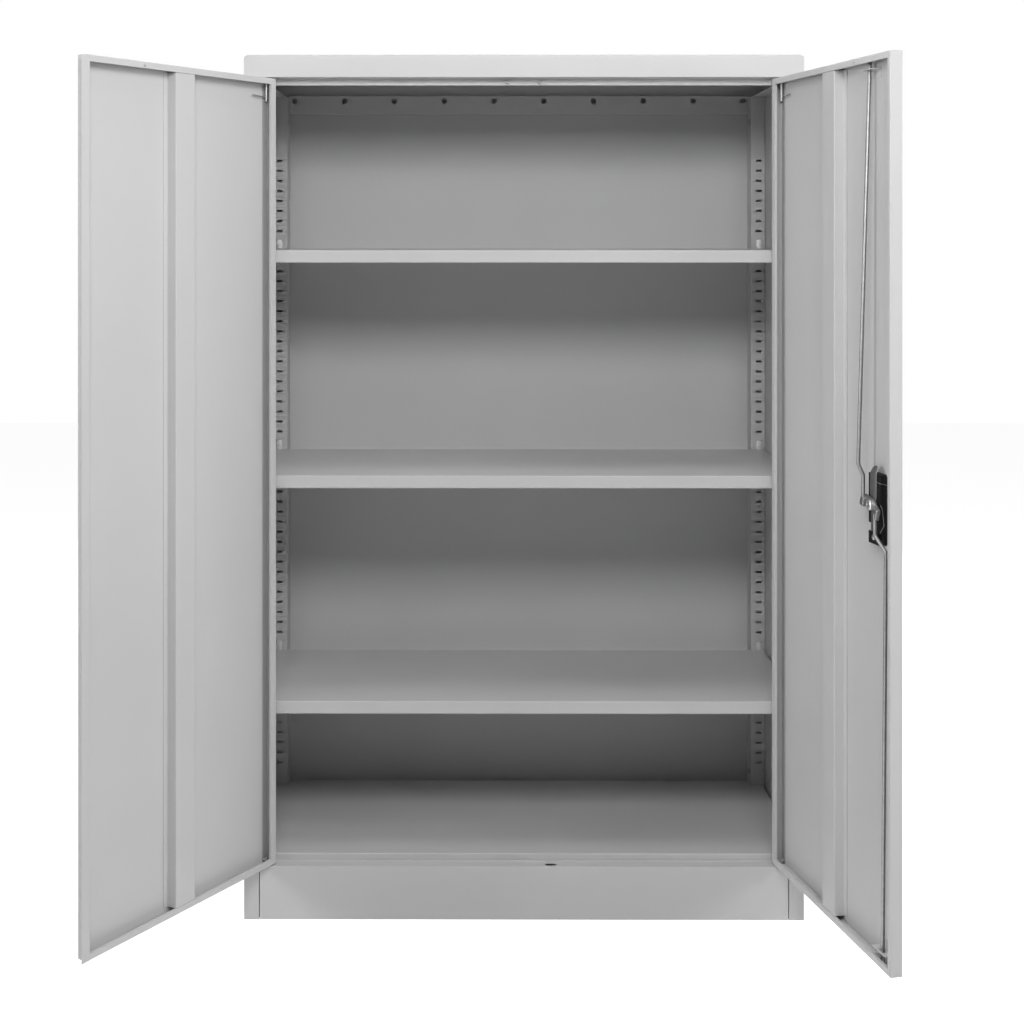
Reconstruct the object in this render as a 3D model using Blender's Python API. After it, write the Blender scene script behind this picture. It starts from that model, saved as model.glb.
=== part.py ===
"""Two-door metal storage cabinet, doors standing open.

Metres, +Z up, front towards -Y. The origin lies on the floor, in the middle of
the plinth's foot. Depths in this file are measured from the cabinet's front.
"""
import math

import bmesh
import bpy
from mathutils import Matrix, Vector

for old in list(bpy.data.objects):
    bpy.data.objects.remove(old, do_unlink=True)

# Overall size and the sheet it is folded from
cabinet_width = 0.900
cabinet_depth = 0.400
cabinet_height = 1.390
sheet = 0.0008
seat = 0.0003              # clearance between pieces that touch
bend = 0.0015              # outer radius of a fold
overrun = 0.002            # how far a cutter passes what it cuts
bend_steps = 2
hole_sides = 16

# Side panels and top panel
side_flange = 0.0241
fascia_height = 0.036
top_seam = 0.0005
top_corner_radius = 0.006
top_bolt_radius = 0.003
top_bolt_front = 0.040
top_bolt_rear = 0.035      # from the back of the cabinet

# Door recess: header rail above, plinth below
recess_depth = 0.025
header_upstand = 0.030
header_lip = 0.011
rail_end_gap = 0.0004      # rails to the front posts' walls
plinth_height = 0.0855
plinth_end_gap = 0.0014
plinth_foot = 0.030
plinth_step = 0.0018       # joggle behind the ledge that carries the floor panel
plinth_bend = 0.0011
plinth_bearer = 0.020

# Posts and their slots
post_face_width = 0.0263
post_rear_gap = 0.0410     # slotted face to the cabinet's back
front_post_hem = 0.015
post_slot_width = 0.0100
post_slot_height = 0.004
post_slot_pitch = 0.0183
post_slot_inset = 0.0130   # slot centre to the cabinet's side face
post_slot_drop = 0.1175    # highest slot below the side panel's top
post_slot_floor = 0.138    # lowest slot above the ground
tab_slot_height = 0.010
tab_slot_width = 0.012
tab_slot_drop = 0.0455     # highest tab slot below the side panel's top
tab_slot_floor = 0.1165    # lowest tab slot above the ground
tab_slot_shares = (0.0, 0.4956, 1.0)

# Rails at the back
rail_rear_gap = 0.0140      # a rail's face to the cabinet's back
rear_rail_drop = 0.033      # below the cabinet's top
rear_rail_height = 0.0342
rear_rail_hole_radius = 0.00525
rear_rail_hole_pitch = 0.0917
rear_rail_hole_count = 10
rear_rail_hole_drop = 0.010
base_rail_flange = 0.024

# Floor panel and shelves
floor_height = 0.0975
shelf_width_gap = 0.0032
floor_rear_gap = 0.003     # floor panel to the rails' face
floor_post_gap = 0.001     # floor panel's notches to the rear posts
shelf_post_gap = 0.0012    # shelf to the post faces, front and back
shelf_depth_fold = 0.0207
shelf_lip = 0.012
shelf_names = ("upper", "middle", "lower")
shelf_slot_shares = (2 / 15, 7 / 15, 12 / 15)
shelf_notch_gap = 0.0015   # round a clip, in the shelf's edge

# Shelf clips
clip_width = 0.0094
clip_thickness = 0.002
clip_tab = 0.016           # above the shelf
clip_slot_drop = 0.0138    # shelf top below the centre of the upper slot
clip_ledge = 0.012
clip_neck = 0.0016
clip_hook = 0.0015
clip_tongue = 0.0020
clip_hook_slots = 2

# Doors
door_side_gap = 0.0024
door_middle_gap = 0.0015
door_bottom_gap = 0.0025
door_top_gap = 0.002
door_depth = 0.019
door_lip = 0.0095
hinge_lip = 0.013
right_edge_lip = 0.0075
left_edge_lip = 0.0025
door_hem = 0.004
lip_hole_radius = 0.0016
lip_hole_u = 0.297
lip_hole_drop = 0.006      # below the door's top edge
pivot_from_edge = 0.009
pivot_depth = 0.006
left_door_opening = math.radians(120.97)
right_door_opening = math.radians(102.16)

# Hinge stile and pins
stile_foot = 0.0118        # along the skin
pin_radius = 0.00275
pin_hole_clearance = 0.00055
pin_reach = 0.008          # above the door's top edge
pin_tail = 0.0068          # below the lever
lever_drop = 0.0305        # lever below the door's top edge
lever_length = 0.030
lever_radius = 0.0015
pin_tab = 0.0012
pin_tab_depth = 0.0115
pin_tab_margin = 0.002     # round the pin, in its tab
pin_tab_from_end = 0.0065
bottom_pin_reach = 0.008
bottom_pin_tail = 0.003
washer_radius = 0.007
washer_thickness = 0.0019

# Door stiffener and the strip that covers the meeting edge
stiffener_start = 0.186
stiffener_face = 0.043
stiffener_foot = 0.010
strip_web = 0.0045         # inside the left door's free edge
strip_cover = 0.012        # past the left door's free edge
strip_foot = 0.010

# Lock
spindle_from_edge = 0.063
spindle_height = 0.7225
spindle_radius = 0.004
spindle_clearance = 0.0004
housing_width = 0.036
housing_height = 0.099
housing_drop = 0.0062      # housing's middle below the spindle
housing_back = 0.012       # from the door's outer face
housing_chamfer = 0.003
housing_corner = 0.006
housing_round_steps = 3
cutout_clearance = 0.0005
bezel_width = 0.052
bezel_height = 0.118
bezel_corner = 0.014
bezel_thickness = 0.003
bezel_chamfer = 0.0012
dish_width = 0.044
dish_height = 0.104
dish_corner = 0.011
dish_floor = 0.0065        # from the door's outer face, inwards
dish_draft = 0.004
hub_radius = 0.012
hub_skirt_radius = 0.014
hub_skirt = 0.004
hub_proud = 0.001
bar_stand_off = 0.015      # door's outer face to the back of the bar
bar_depth = 0.011
bar_length = 0.084
bar_width = 0.015
bar_corner = 0.004
bar_round_steps = 2
bar_end_share = 0.62
bar_taper_power = 3
bar_station_shares = (-1.0, -0.9, -0.45, 0.45, 0.9, 1.0)
key_radius = 0.0062
key_depth = 0.010
key_proud = 0.0008
key_slot_width = 0.0016
key_slot_length = 0.008
key_slot_depth = 0.006
bridge_width = 0.0155
bridge_thickness = 0.0012
bridge_eye = 0.009
bridge_low = 0.0375        # lower end below the spindle
bridge_turn = 0.0445       # bend above the spindle
bridge_tip = 0.0546        # upper end above the spindle
bridge_tip_depth = 0.0082   # upper end, from the door's outer face
cam_reach = 0.020
cam_rest_angle = math.radians(21)
cam_thickness = 0.0025
cam_clearance = 0.0007
cam_end_radius = 0.0055
cam_boss_radius = 0.009
cam_screw_head = 0.005
cam_screw_head_height = 0.0022
cam_screw_shank = 0.0021
cam_screw_depth = 0.0085
lug_screw_from_end = 0.010
lug_screw_head = 0.0038
lug_screw_head_height = 0.002
lug_screw_shank = 0.0018
lug_screw_depth = 0.006

# Locking rods and their guides
rod_radius = 0.00275
rod_depth = 0.0095         # from the door's outer face, at the door's ends
rod_proud = 0.0015
rod_crank_depth = 0.0200
rod_bow_depth = 0.0274
rod_hook_clearance = 0.0003
rod_bend = 0.003
rod_bend_steps = 3
upper_joggle_start = 0.0387
upper_joggle_end = 0.0557
lower_joggle_start = 0.0394
lower_joggle_end = 0.0616
lower_rod_kick = 0.0125
lower_rod_tip = 0.0022     # tip sits this far nearer the free edge than the crank
guide_slot_length = 0.0185
guide_slot_width = 0.008
guide_length = 0.040
guide_ear = 0.0165
guide_foot = 0.012
guide_from_end = 0.0185
keeper_slot_length = 0.0185
keeper_slot_width = 0.008

# Rubber bumpers on the header's lip
bumper_spacing = 0.052
bumper_radius = 0.003
bumper_length = 0.0045
bumper_crown = 0.001
bumper_height = 0.0045     # above the lip's lower edge

# Places that several pieces share
half_width = cabinet_width / 2
fascia_bottom = cabinet_height - fascia_height
side_top = fascia_bottom - top_seam
web_inside = half_width - sheet - seat
opening_half = half_width - side_flange
post_rear_face = cabinet_depth - post_rear_gap
rail_face = cabinet_depth - rail_rear_gap
back_front = cabinet_depth - sheet - seat - sheet
post_bottom = sheet + seat
post_top = side_top - sheet - seat
slot_x = half_width - post_slot_inset
post_slot_top = side_top - post_slot_drop
post_slot_steps = round((post_slot_top - post_slot_floor) / post_slot_pitch)
tab_slot_top = side_top - tab_slot_drop
door_edge = opening_half - door_side_gap
pivot_x = door_edge - pivot_from_edge
door_bottom = plinth_height + door_bottom_gap
door_top = fascia_bottom - door_top_gap
door_width = door_edge - door_middle_gap
free_edge = door_width - pivot_from_edge
inner_skin = sheet + seat
spindle_u = free_edge - spindle_from_edge
crank_u = cam_reach * math.cos(cam_rest_angle)
crank_z = cam_reach * math.sin(cam_rest_angle)
upper_rod_u = spindle_u - crank_u
lower_rod_u = spindle_u + crank_u + lower_rod_tip
cam_near = housing_back + seat + bridge_thickness + cam_clearance
cam_far = cam_near + cam_thickness
bar_front = -(bar_stand_off + bar_depth)
lug_screw_drop = housing_drop + housing_height / 2 - lug_screw_from_end

# The finishes: colour, roughness, metallic
finishes = {
    "powder coat": ((0.60, 0.61, 0.61, 1), 0.45, 0.0),
    "bright zinc": ((0.62, 0.62, 0.60, 1), 0.30, 1.0),
    "steel": ((0.42, 0.42, 0.42, 1), 0.35, 1.0),
    "black plastic": ((0.015, 0.015, 0.016, 1), 0.42, 0.0),
    "rubber": ((0.50, 0.50, 0.49, 1), 0.80, 0.0),
}
curved_above = math.radians(35)

# All pieces hang on this empty, so that the origin comes to the middle of the plinth's foot
cabinet = bpy.data.objects.new("cabinet", None)
bpy.context.collection.objects.link(cabinet)
cabinet.location = (0, -plinth_foot / 2, 0)


def material(name, finish):
    """A material of the piece's own in one of the finishes."""
    colour, roughness, metallic = finishes[finish]
    look = bpy.data.materials.new(name)
    look.use_nodes = True
    shader = look.node_tree.nodes["Principled BSDF"]
    shader.inputs["Base Color"].default_value = colour
    shader.inputs["Roughness"].default_value = roughness
    shader.inputs["Metallic"].default_value = metallic
    return look


def piece(name, bm, finish, parent=cabinet):
    """Turn a bmesh into a named object, faces outwards, with its own material."""
    bmesh.ops.recalc_face_normals(bm, faces=bm.faces)
    mesh = bpy.data.meshes.new(name)
    bm.to_mesh(mesh)
    bm.free()
    mesh.shade_smooth()
    mesh.set_sharp_from_angle(angle=curved_above)
    mesh.materials.append(material(name, finish))
    made = bpy.data.objects.new(name, mesh)
    bpy.context.collection.objects.link(made)
    made.parent = parent
    return made


def cut(target, bm, operation="DIFFERENCE"):
    """Take a bmesh's shape out of a piece, or join it on."""
    bmesh.ops.recalc_face_normals(bm, faces=bm.faces)
    mesh = bpy.data.meshes.new(target.name + "_tool")
    bm.to_mesh(mesh)
    bm.free()
    tool = bpy.data.objects.new(target.name + "_tool", mesh)
    bpy.context.collection.objects.link(tool)
    tool.parent = target.parent
    tool.hide_render = True
    tool.display_type = "WIRE"
    step = target.modifiers.new(operation.title(), "BOOLEAN")
    step.object = tool
    step.operation = operation
    step.solver = "EXACT"


def add_loft(bm, rings):
    """Close a body over rings of points, with a flat cap at each end."""
    rows = [[bm.verts.new(point) for point in ring] for ring in rings]
    for near, far in zip(rows, rows[1:]):
        for index in range(len(near)):
            after = (index + 1) % len(near)
            bm.faces.new((near[index], near[after], far[after], far[index]))
    bm.faces.new(list(reversed(rows[0])))
    bm.faces.new(rows[-1])
    return bm


def loft(rings):
    return add_loft(bmesh.new(), rings)


def add_prism(bm, outline, place, start, end):
    """Push a flat outline along; place(a, b, along) gives the point."""
    return add_loft(bm, [[place(a, b, along) for a, b in outline] for along in (start, end)])


def prism(outline, place, start, end):
    return add_prism(bmesh.new(), outline, place, start, end)


def add_box(bm, corner, other):
    """A box between two opposite corners, in any order."""
    size = Vector([abs(far - near) for near, far in zip(corner, other)])
    middle = (Vector(corner) + Vector(other)) / 2
    matrix = Matrix.Translation(middle) @ Matrix.Diagonal(size).to_4x4()
    bmesh.ops.create_cube(bm, size=1, matrix=matrix)
    return bm


def rectangle(width, height):
    right, top = width / 2, height / 2
    return [(-right, -top), (right, -top), (right, top), (-right, top)]


def rounded_rectangle(width, height, radius, steps):
    points = []
    for quarter, (side, end) in enumerate(((1, 1), (-1, 1), (-1, -1), (1, -1))):
        middle_x = side * (width / 2 - radius)
        middle_y = end * (height / 2 - radius)
        for step in range(steps + 1):
            angle = math.pi / 2 * (quarter + step / steps)
            points.append((middle_x + radius * math.cos(angle), middle_y + radius * math.sin(angle)))
    return points


def circle(radius, sides=hole_sides):
    turns = [2 * math.pi * (index + 0.5) / sides for index in range(sides)]
    return [(radius * math.cos(turn), radius * math.sin(turn)) for turn in turns]


def stadium(length, width):
    return rounded_rectangle(length, width, width / 2, hole_sides // 4)


def moved(outline, across, up):
    return [(a + across, b + up) for a, b in outline]


def fold(path, radius=bend, thickness=sheet):
    """Closed outline of a folded sheet. The path is one face, the sheet lies to its left."""
    path = [Vector(point) for point in path]
    face, back = [], []
    for last, point, following in zip([None] + path, path, path[1:] + [None]):
        if last is None or following is None:
            along = following - point if last is None else point - last
            left = Vector((-along.y, along.x)).normalized()
            face.append(point)
            back.append(point + left * thickness)
            continue
        before = (point - last).normalized()
        after = (following - point).normalized()
        cross = before.x * after.y - before.y * after.x
        side = 1 if cross > 0 else -1
        turn = math.atan2(abs(cross), before.dot(after))
        face_radius = radius if side > 0 else radius - thickness
        centre = point - before * face_radius * math.tan(turn / 2)
        centre += Vector((-before.y, before.x)) * side * face_radius
        outward = Vector((before.y, -before.x)) * side
        for step in range(bend_steps + 1):
            angle = side * turn * step / bend_steps
            spoke = Matrix.Rotation(angle, 2) @ outward
            face.append(centre + spoke * face_radius)
            back.append(centre + spoke * (face_radius - side * thickness))
    return [tuple(point) for point in face + back[::-1]]


def tray(low, high, flange, place, bends=None, lips=None, hem=0.0):
    """A sheet with its four edges folded over, and lips and hems where given.

    low and high are the corners of its face; place(a, b, level) gives the point.
    """
    bends = bends or (bend,) * 4
    drop = max(bends)
    quarters = [math.pi / 2 * step / bend_steps for step in range(bend_steps + 1)]
    levels = []
    for turn in quarters:
        levels.append((drop - drop * math.cos(turn), [edge - edge * math.sin(turn) for edge in bends]))
    if lips:
        for turn in quarters:
            levels.append((flange - bend + bend * math.sin(turn), [bend - bend * math.cos(turn)] * 4))
        levels.append((flange, list(lips)))
        edges = list(lips)
        if hem:
            edges = [lip - sheet for lip in lips]
            levels.append((flange - hem, list(lips)))
            levels.append((flange - hem, edges))
        levels.append((flange - sheet, edges))
        inside = bend - sheet
        for turn in quarters[::-1]:
            levels.append((flange - bend + inside * math.sin(turn), [bend - inside * math.cos(turn)] * 4))
    else:
        levels.append((flange, [0.0] * 4))
        levels.append((flange, [sheet] * 4))
    for turn in quarters[::-1]:
        level = drop - (drop - sheet) * math.cos(turn)
        levels.append((level, [edge - (edge - sheet) * math.sin(turn) for edge in bends]))
    rings = []
    for level, (left, right, front, rear) in levels:
        rings.append([
            place(low[0] + left, low[1] + front, level),
            place(high[0] - right, low[1] + front, level),
            place(high[0] - right, high[1] - rear, level),
            place(low[0] + left, high[1] - rear, level),
        ])
    return loft(rings)


def upright(x, y, z):
    """An outline drawn in plan, pushed up."""
    return Vector((x, y, z))


def crosswise(y, z, x):
    """An outline drawn from the side, pushed across."""
    return Vector((x, y, z))


def frontwise(x, z, y):
    """An outline drawn from the front, pushed back."""
    return Vector((x, y, z))


def side_panel(name, side):
    """Folded tray: the cabinet's side, with flanges all round facing inwards."""
    def place(y, z, level):
        return Vector((side * (half_width - level), y, z))

    panel = piece(name, tray((0, 0), (cabinet_depth, side_top), side_flange, place), "powder coat")
    holes = bmesh.new()
    middle = side * (half_width - side_flange / 2)
    for y in (top_bolt_front, cabinet_depth - top_bolt_rear):
        hole = moved(circle(top_bolt_radius), middle, y)
        add_prism(holes, hole, upright, side_top - overrun, side_top + overrun)
    cut(panel, holes)


def top_panel():
    """Inverted tray with rounded ends; its front flange is the fascia."""
    def place(x, y, level):
        return Vector((x, y, cabinet_height - level))

    bends = (top_corner_radius, top_corner_radius, bend, bend)
    shell = tray((-half_width, 0), (half_width, cabinet_depth), fascia_height, place, bends)
    piece("top_panel", shell, "powder coat")


def header_rail():
    """Folded rail under the fascia: door ledge, down lip, pivot holes and rod slot."""
    front = sheet + seat
    path = [
        (front, fascia_bottom + header_upstand),
        (front, fascia_bottom),
        (recess_depth, fascia_bottom),
        (recess_depth, fascia_bottom - header_lip),
    ]
    half = opening_half - rail_end_gap
    rail = piece("header_rail", prism(fold(path), crosswise, -half, half), "powder coat")
    cut(rail, ledge_holes(fascia_bottom, pivot_x - upper_rod_u))
    holes = bmesh.new()
    for side in (-1, 1):
        middle = (side * bumper_spacing / 2, fascia_bottom - header_lip + bumper_height)
        stem = moved(circle(bumper_radius / 2 + seat, hole_sides // 2), *middle)
        add_prism(holes, stem, frontwise, recess_depth - overrun / 2, recess_depth + overrun)
    cut(rail, holes)


def ledge_holes(height, rod_x):
    """Pivot holes for both doors and the keeper slot for a locking rod."""
    holes = bmesh.new()
    ends = (height - overrun, height + overrun)
    for side in (-1, 1):
        hole = moved(circle(pin_radius + pin_hole_clearance), side * pivot_x, pivot_depth)
        add_prism(holes, hole, upright, *ends)
    slot = moved(stadium(keeper_slot_length, keeper_slot_width), rod_x, rod_depth)
    add_prism(holes, slot, upright, *ends)
    return holes


def bumper(name, side):
    """Rubber button with a stem pushed through the header's lip."""
    middle_x = side * bumper_spacing / 2
    middle_z = fascia_bottom - header_lip + bumper_height
    base = recess_depth - seat
    profile = [
        (bumper_radius - bumper_crown, base - bumper_length),
        (bumper_radius, base - bumper_length + bumper_crown),
        (bumper_radius, base),
        (bumper_radius / 2, base),
        (bumper_radius / 2, recess_depth + sheet),
    ]
    rings = []
    for radius, y in profile:
        outline = moved(circle(radius, hole_sides // 2), middle_x, middle_z)
        rings.append([frontwise(x, z, y) for x, z in outline])
    piece(name, loft(rings), "rubber")


def plinth():
    """Folded front: foot, face, door ledge, and a step that carries the floor panel."""
    path = [
        (plinth_foot, 0),
        (0, 0),
        (0, plinth_height),
        (recess_depth, plinth_height),
        (recess_depth, plinth_height + plinth_step),
        (recess_depth + plinth_bearer, plinth_height + plinth_step),
    ]
    half = opening_half - plinth_end_gap
    outline = fold(path[::-1], plinth_bend)
    rail = piece("plinth", prism(outline, crosswise, -half, half), "powder coat")
    cut(rail, ledge_holes(plinth_height, pivot_x - lower_rod_u))


def rear_rails():
    """Two channels across the back: one under the top, one under the floor panel."""
    rear = back_front - seat
    half = web_inside - post_face_width - rail_end_gap
    high = cabinet_height - rear_rail_drop
    low = high - rear_rail_height
    path = [(rear, high), (rail_face, high), (rail_face, low), (rear, low)]
    rail = piece("rear_top_rail", prism(fold(path), crosswise, -half, half), "powder coat")
    holes = bmesh.new()
    for index in range(rear_rail_hole_count):
        x = (index - (rear_rail_hole_count - 1) / 2) * rear_rail_hole_pitch
        hole = moved(circle(rear_rail_hole_radius), x, high - rear_rail_hole_drop)
        add_prism(holes, hole, frontwise, rail_face - overrun, rail_face + overrun)
    cut(rail, holes)
    top = plinth_height + plinth_step
    path = [(rear - base_rail_flange, 0), (rear, 0), (rear, top), (rear - base_rail_flange, top)]
    piece("rear_base_rail", prism(fold(path), crosswise, -half, half), "powder coat")


def post_slots(post, side, y):
    """One slot cutter repeated down the post."""
    slots = bmesh.new()
    for index in range(post_slot_steps + 1):
        z = post_slot_top - index * post_slot_pitch
        slot = moved(rectangle(post_slot_width, post_slot_height), side * slot_x, z)
        add_prism(slots, slot, frontwise, y - overrun / 2, y + overrun / 2)
    cut(post, slots)


def front_post(name, side):
    """Channel behind the side's front flange: recess wall, and a slotted face to the rear."""
    path = [
        (web_inside, recess_depth - front_post_hem),
        (web_inside, recess_depth),
        (opening_half, recess_depth),
        (opening_half, sheet + seat),
    ]
    outline = [(side * x, y) for x, y in fold(path)]
    post = piece(name, prism(outline, upright, post_bottom, post_top), "powder coat")
    post_slots(post, side, recess_depth - sheet / 2)


def rear_post(name, side):
    """Channel in the rear corner: slotted face to the front, tab slots in its return."""
    inner = web_inside - post_face_width
    rear = back_front - seat
    path = [(inner, rear), (inner, post_rear_face), (web_inside, post_rear_face), (web_inside, rear)]
    outline = [(side * x, y) for x, y in fold(path)]
    post = piece(name, prism(outline, upright, post_bottom, post_top), "powder coat")
    post_slots(post, side, post_rear_face + sheet / 2)
    tabs = bmesh.new()
    middle = (post_rear_face + rear) / 2
    for share in tab_slot_shares:
        z = tab_slot_floor + share * (tab_slot_top - tab_slot_floor)
        slot = moved(rectangle(tab_slot_width, tab_slot_height), middle, z)
        add_prism(tabs, slot, crosswise, side * (inner - overrun), side * (inner + overrun))
    cut(post, tabs)


def back_panel():
    """Flat sheet in front of the sides' rear flanges."""
    panel = bmesh.new()
    add_box(panel, (-web_inside, back_front, post_bottom), (web_inside, back_front + sheet, post_top))
    piece("back_panel", panel, "powder coat")


def floor_panel():
    """Shallow tray on the plinth's step and the rear base rail, notched for the posts."""
    half = half_width - sheet - shelf_width_gap
    low = (-half, recess_depth + seat)
    high = (half, rail_face - floor_rear_gap)

    def place(x, y, level):
        return Vector((x, y, floor_height - level))

    flange = floor_height - plinth_height - plinth_step - seat
    panel = piece("floor_panel", tray(low, high, flange, place), "powder coat")
    notches = bmesh.new()
    inner = web_inside - post_face_width - floor_post_gap
    for side in (-1, 1):
        corner = (side * inner, post_rear_face - floor_post_gap, plinth_height)
        add_box(notches, corner, (side * half_width, cabinet_depth, floor_height + overrun))
    cut(panel, notches)


def shelf(name, height):
    """Inverted tray with a lip folded under all round, notched for its clips."""
    half = half_width - sheet - shelf_width_gap
    low = (-half, recess_depth + shelf_post_gap)
    high = (half, post_rear_face - shelf_post_gap)

    def place(x, y, level):
        return Vector((x, y, height - level))

    lips = (shelf_lip,) * 4
    panel = piece(name, tray(low, high, shelf_depth_fold, place, lips=lips), "powder coat")
    notches = bmesh.new()
    reach = seat + clip_thickness + shelf_notch_gap
    notch = clip_width / 2 + shelf_notch_gap
    for side in (-1, 1):
        for edge, end in ((recess_depth, 1), (post_rear_face, -1)):
            corner = (side * (slot_x - notch), edge, height - shelf_depth_fold - overrun)
            add_box(notches, corner, (side * (slot_x + notch), edge + end * reach, height + overrun))
    cut(panel, notches)


def shelf_clip(name, side, end, height):
    """Pressed clip: two hooks in the post's slots, a ledge under the shelf, a tab above it.

    end is +1 at the rear post and -1 at the front post.
    """
    face = post_rear_face if end > 0 else recess_depth
    slot = height + clip_slot_drop - post_slot_height / 2 + seat
    lower = slot - clip_hook_slots * post_slot_pitch
    ledge = height - shelf_depth_fold - seat
    near, far = seat, seat + clip_thickness
    behind = -(sheet + seat)
    reach = behind - clip_hook
    outline = [(far, height + clip_tab), (near, height + clip_tab)]
    for neck in (slot, lower):
        outline += [
            (near, neck + clip_neck),
            (reach, neck + clip_neck),
            (reach, neck - clip_tongue),
            (behind, neck - clip_tongue),
            (behind, neck),
            (near, neck),
        ]
    outline += [
        (far, lower),
        (far, ledge - clip_thickness),
        (clip_ledge, ledge - clip_thickness),
        (clip_ledge, ledge),
        (far, ledge),
    ]
    outline = [(face - end * out, z) for out, z in outline]
    middle = side * slot_x
    start, finish = middle - clip_width / 2, middle + clip_width / 2
    piece(name, prism(outline, crosswise, start, finish), "bright zinc")


def door_frame(name, hand, opening):
    """The empty on a door's pivot axis. hand is +1 for the left door, -1 for the right."""
    frame = bpy.data.objects.new(name, None)
    bpy.context.collection.objects.link(frame)
    frame.parent = cabinet
    frame.location = (-hand * pivot_x, pivot_depth, 0)
    frame.rotation_euler = (0, 0, -hand * opening)
    return frame


def in_door(hand, u, depth, z):
    """A point of a door: u from its pivot to its free edge, depth from its outer face."""
    return Vector((hand * u, depth - pivot_depth, z))


def door_pan(name, frame, hand):
    """The door's folded tray with lips, hems and pin holes."""
    def place(u, z, level):
        return in_door(hand, u, level, z)

    edge_lip = left_edge_lip if hand > 0 else right_edge_lip
    low = (-pivot_from_edge, door_bottom)
    high = (free_edge, door_top)
    lips = (hinge_lip, edge_lip, door_lip, door_lip)
    pan = piece(name, tray(low, high, door_depth, place, lips=lips, hem=door_hem), "powder coat", frame)

    def level_place(u, depth, z):
        return in_door(hand, u, depth, z)

    pin_hole = moved(circle(pin_radius + pin_hole_clearance), 0, pivot_depth)
    for edge in (door_top, door_bottom):
        cut(pan, prism(pin_hole, level_place, edge - overrun, edge + overrun))
    def through(u, z, depth):
        return in_door(hand, u, depth, z)

    hole = moved(circle(lip_hole_radius), lip_hole_u, door_top - lip_hole_drop)
    cut(pan, prism(hole, through, door_depth - overrun, door_depth + overrun))
    return pan


def hinge_stile(name, frame, hand):
    """Angle welded along the door's hinge wall, with tabs that hold the two pins."""
    wall = inner_skin - pivot_from_edge
    path = [
        (wall, door_depth - door_hem - seat),
        (wall, inner_skin),
        (wall + stile_foot, inner_skin),
    ]

    def place(u, depth, z):
        return in_door(hand, u, depth, z)

    low, high = door_bottom + inner_skin, door_top - inner_skin
    stile = piece(name, prism(fold(path), place, low, high), "powder coat", frame)
    tab_end = pin_radius + pin_tab_margin
    outline = [
        (wall + sheet / 2, inner_skin + sheet / 2),
        (tab_end, inner_skin + sheet / 2),
        (tab_end, pin_tab_depth),
        (wall + sheet / 2, pin_tab_depth),
    ]
    tabs = (door_top - pin_tab_from_end - pin_tab, door_bottom + pin_tab_from_end)
    for tab in tabs:
        cut(stile, prism(outline, place, tab, tab + pin_tab), "UNION")
    holes = bmesh.new()
    hole = moved(circle(pin_radius + pin_hole_clearance), 0, pivot_depth)
    for tab in tabs:
        add_prism(holes, hole, place, tab - overrun / 2, tab + pin_tab + overrun / 2)
    cut(stile, holes)


def rounded_route(points, radius, steps):
    """A run of straight legs with each corner turned into an arc."""
    points = [Vector(point) for point in points]
    route = [points[0]]
    for before, corner, after in zip(points, points[1:], points[2:]):
        back, ahead = (before - corner).normalized(), (after - corner).normalized()
        turn = math.pi - back.angle(ahead)
        setback = radius * math.tan(turn / 2)
        middle = (back + ahead).normalized() * math.hypot(setback, radius)
        centre = corner + middle
        start, end = corner + back * setback - centre, corner + ahead * setback - centre
        for step in range(steps + 1):
            route.append(centre + start.slerp(end, step / steps).normalized() * radius)
    route.append(points[-1])
    return route


def rod(name, points, radius, bend_radius, finish, parent):
    """A bent round rod."""
    curve = bpy.data.curves.new(name, "CURVE")
    curve.dimensions = "3D"
    curve.bevel_depth = radius
    curve.bevel_resolution = 2
    curve.use_fill_caps = True
    route = rounded_route(points, bend_radius, rod_bend_steps)
    spline = curve.splines.new("POLY")
    spline.points.add(len(route) - 1)
    for point, place in zip(spline.points, route):
        point.co = (*place, 1)
    curve.materials.append(material(name, finish))
    made = bpy.data.objects.new(name, curve)
    bpy.context.collection.objects.link(made)
    made.parent = parent


def pin(name, frame, hand, low, high):
    """Round pin on the door's pivot axis, its lower end rounded."""
    def place(u, depth, z):
        return in_door(hand, u, pivot_depth + depth, z)

    profile = [(pin_radius / 2, low), (pin_radius, low + pin_radius / 2), (pin_radius, high)]
    return piece(name, turned(profile, place), "bright zinc", frame)


def top_pin(name, frame, hand):
    """Sliding pin: up into the header's hole, with a thin cross lever near its lower end."""
    lever_z = door_top - lever_drop
    made = pin(name, frame, hand, lever_z - pin_tail, door_top + pin_reach)

    def along(depth, z, u):
        return in_door(hand, u, pivot_depth + depth, lever_z + z)

    cut(made, prism(circle(lever_radius), along, 0, lever_length), "UNION")


def bottom_pin(name, frame, hand):
    """Fixed pin through the door's lower edge into the plinth's ledge."""
    tab = door_bottom + pin_tab_from_end
    pin(name, frame, hand, door_bottom - bottom_pin_reach, tab + pin_tab + bottom_pin_tail)


def hinge_washer(name, side):
    """Washer on the plinth's ledge that carries the door."""
    base = plinth_height + seat
    ends = (base, base + washer_thickness)
    outline = moved(circle(washer_radius), side * pivot_x, pivot_depth)
    washer = piece(name, prism(outline, upright, *ends), "bright zinc")
    hole = moved(circle(pin_radius + pin_hole_clearance), side * pivot_x, pivot_depth)
    cut(washer, prism(hole, upright, base - overrun / 2, base + washer_thickness + overrun / 2))


def door_stiffener(name, frame, hand):
    """Hat section up the middle of the door."""
    top = door_depth - sheet - seat - sheet
    start, end = stiffener_start + sheet, stiffener_start + stiffener_face - sheet
    path = [
        (start - stiffener_foot, inner_skin),
        (start, inner_skin),
        (start, top),
        (end, top),
        (end, inner_skin),
        (end + stiffener_foot, inner_skin),
    ]
    def place(u, depth, z):
        return in_door(hand, u, depth, z)

    low, high = door_bottom + door_lip + seat, door_top - door_lip - seat
    piece(name, prism(fold(path), place, low, high), "powder coat", frame)


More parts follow.
